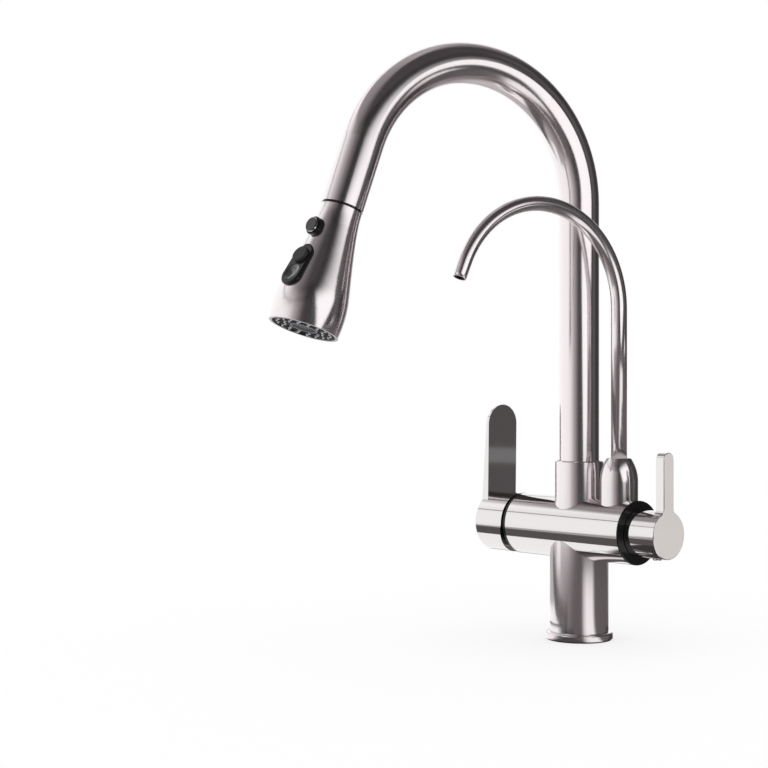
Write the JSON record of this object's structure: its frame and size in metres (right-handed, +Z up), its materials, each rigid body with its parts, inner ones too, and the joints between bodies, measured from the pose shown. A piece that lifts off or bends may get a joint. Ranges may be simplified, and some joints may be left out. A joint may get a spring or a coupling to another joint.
{
  "type": "three-way kitchen tap",
  "caption": "Three-way kitchen tap: a lever mixer with a gooseneck pull-down spray spout, and a separate slim drinking-water spout with its own quarter-turn lever.",
  "frame": {"origin": "centre of the column's underside on the deck, at the mouth of the shank thread", "axes": "+Z up along the column; -Y towards the user, the way the spouts point when straight ahead; +X along the barrel towards the drinking-water lever"},
  "size_m": [0.1637, 0.2596, 0.4098],
  "materials": {
    "brushed_steel": "brushed nickel-coloured stainless steel, fine grain along and around the tubes",
    "polished_steel": "polished steel with sharp reflections",
    "chrome_trim": "bright chrome",
    "black_trim": "glossy black",
    "button_plastic": "satin charcoal",
    "face_plastic": "dark grey moulded plastic",
    "aerator_plastic": "grey moulded plastic",
    "nozzle_rubber": "pale silicone",
    "inner_plastic": "natural white engineering plastic",
    "ceramic": "lapped ceramic",
    "brass_fittings": "machined brass",
    "steel_fasteners": "plain steel",
    "magnet": "sintered magnet, dark grey",
    "seal_rubber": "black rubber",
    "hose_braid": "grey nylon braid"
  },
  "bodies": {
    "tap_body": {"column": "brushed_steel", "base_flange": "brushed_steel", "base_gasket": "seal_rubber", "valve_body": "polished_steel", "spout_collar": "brushed_steel", "spout_bush": "inner_plastic", "spout_retaining_screw": "steel_fasteners", "drinking_outlet_sleeve": "brushed_steel", "drinking_spout_cap": "brushed_steel", "drinking_spout_bush": "inner_plastic", "mixer_cartridge": "inner_plastic", "mixer_cartridge_seals": "seal_rubber", "mixer_retaining_nut": "brass_fittings", "mixer_trim_ring": "black_trim", "filter_headwork": "brass_fittings", "filter_fixed_disc": "ceramic", "filter_retaining_nut": "brass_fittings", "filter_trim_ring": "black_trim"},
    "main_spout": {"spout_tube": "brushed_steel", "spout_insert": "brass_fittings", "spout_o_rings": "seal_rubber", "docking_sleeve": "inner_plastic", "docking_magnet": "magnet", "pull_hose": "hose_braid"},
    "spray_head": {"hose_tail": "hose_braid", "hose_nut": "brass_fittings", "spray_neck": "inner_plastic", "spray_neck_ring": "black_trim", "spray_head_shell": "brushed_steel", "spray_core": "inner_plastic", "face_rim_ring": "chrome_trim", "spray_face_plate": "face_plastic", "spray_nozzles": "nozzle_rubber", "aerator_insert": "aerator_plastic", "pause_collar": "black_trim", "mode_bezel": "black_trim"},
    "pause_button": {"pause_button": "button_plastic", "pause_button_rim": "chrome_trim"},
    "upper_mode_button": {"mode_button_upper": "button_plastic"},
    "lower_mode_button": {"mode_button_lower": "button_plastic"},
    "drinking_spout": {"drinking_spout_tube": "brushed_steel", "drinking_spout_insert": "brass_fittings", "drinking_spout_o_rings": "seal_rubber"},
    "mixer_carrier": {"mixer_carrier": "inner_plastic", "mixer_pivot_pin": "steel_fasteners"},
    "mixer_lever": {"mixer_spindle": "brass_fittings", "mixer_handle": "polished_steel", "mixer_grub_screw": "steel_fasteners", "mixer_screw_plug": "polished_steel"},
    "filter_lever": {"filter_moving_disc": "ceramic", "filter_spindle": "brass_fittings", "filter_handle": "polished_steel", "filter_grub_screw": "steel_fasteners", "filter_screw_plug": "polished_steel"}
  },
  "joints": [
    {"name": "spout_swivel", "type": "hinge", "parent": "tap_body", "child": "main_spout", "pos_m": [0, 0, 0.11], "axis": [0, 0, 1], "continuous": true},
    {"name": "spray_pull", "type": "slide", "parent": "main_spout", "child": "spray_head", "axis": [-0.0606, -0.3299, -0.9421], "range_m": [0, 0.19]},
    {"name": "pause_press", "type": "slide", "parent": "spray_head", "child": "pause_button", "axis": [-0.0729, 0.9427, -0.3255], "range_m": [0, 0.0017], "stiffness_N_per_m": 600},
    {"name": "upper_mode_press", "type": "slide", "parent": "spray_head", "child": "upper_mode_button", "axis": [-0.0865, 0.8203, -0.5654], "range_m": [0, 0.002]},
    {"name": "lower_mode_press", "type": "slide", "parent": "spray_head", "child": "lower_mode_button", "axis": [-0.0865, 0.8203, -0.5654], "range_m": [-0.002, 0]},
    {"name": "drinking_spout_swivel", "type": "hinge", "parent": "tap_body", "child": "drinking_spout", "pos_m": [0.0368, 0, 0.104], "axis": [0, 0, 1], "range_deg": [-45, 225]},
    {"name": "mixer_temperature", "type": "hinge", "parent": "tap_body", "child": "mixer_carrier", "pos_m": [-0.0477, 0, 0.0782], "axis": [1, 0, 0], "range_deg": [-45, 45]},
    {"name": "mixer_flow", "type": "hinge", "parent": "mixer_carrier", "child": "mixer_lever", "pos_m": [-0.0477, 0, 0.0782], "axis": [0, -1, 0], "range_deg": [0, 13]},
    {"name": "filter_lever_turn", "type": "hinge", "parent": "tap_body", "child": "filter_lever", "pos_m": [0.06, 0, 0.0782], "axis": [1, 0, 0], "range_deg": [0, 90]}
  ],
  "couplings": [
    {"joint": "lower_mode_press", "follows": "upper_mode_press", "ratio": -1}
  ]
}
